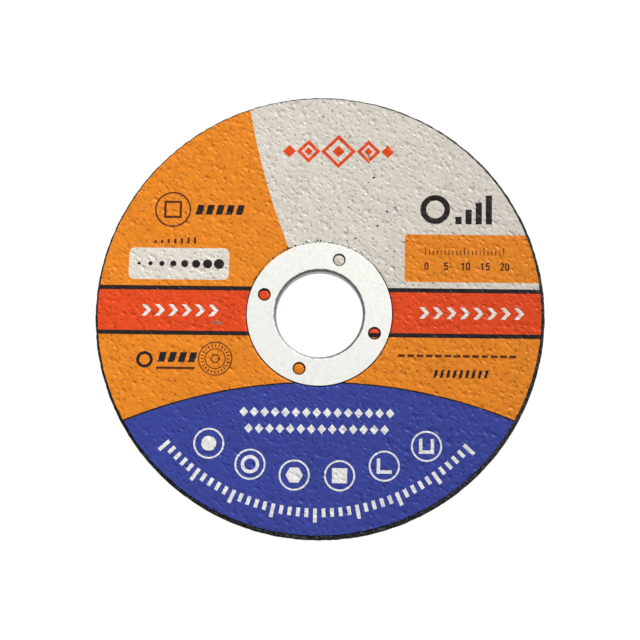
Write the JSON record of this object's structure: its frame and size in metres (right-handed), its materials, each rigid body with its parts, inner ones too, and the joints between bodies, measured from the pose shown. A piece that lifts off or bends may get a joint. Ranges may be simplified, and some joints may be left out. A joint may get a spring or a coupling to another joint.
{
  "type": "cut-off wheel",
  "caption": "Thin flat reinforced abrasive wheel for cutting metal, with a printed paper label and a stamped metal ring lining its arbor bore.",
  "frame": {"origin": "on the bore's axis, at the wheel's back face", "axes": "+Z along the bore's axis, out of the labelled face; +X along the printed band to the right, +Y up the label"},
  "size_m": [0.115, 0.115, 0.0032],
  "materials": {
    "abrasive": "dark resin-bonded grit, matt and rough",
    "label_paper": "printed paper pressed over grit, satin",
    "ring_metal": "tin-plated sheet steel, satin"
  },
  "bodies": {
    "root": {"abrasive_disc": "abrasive", "label": "label_paper", "arbor_ring": "ring_metal"}
  },
  "joints": []
}
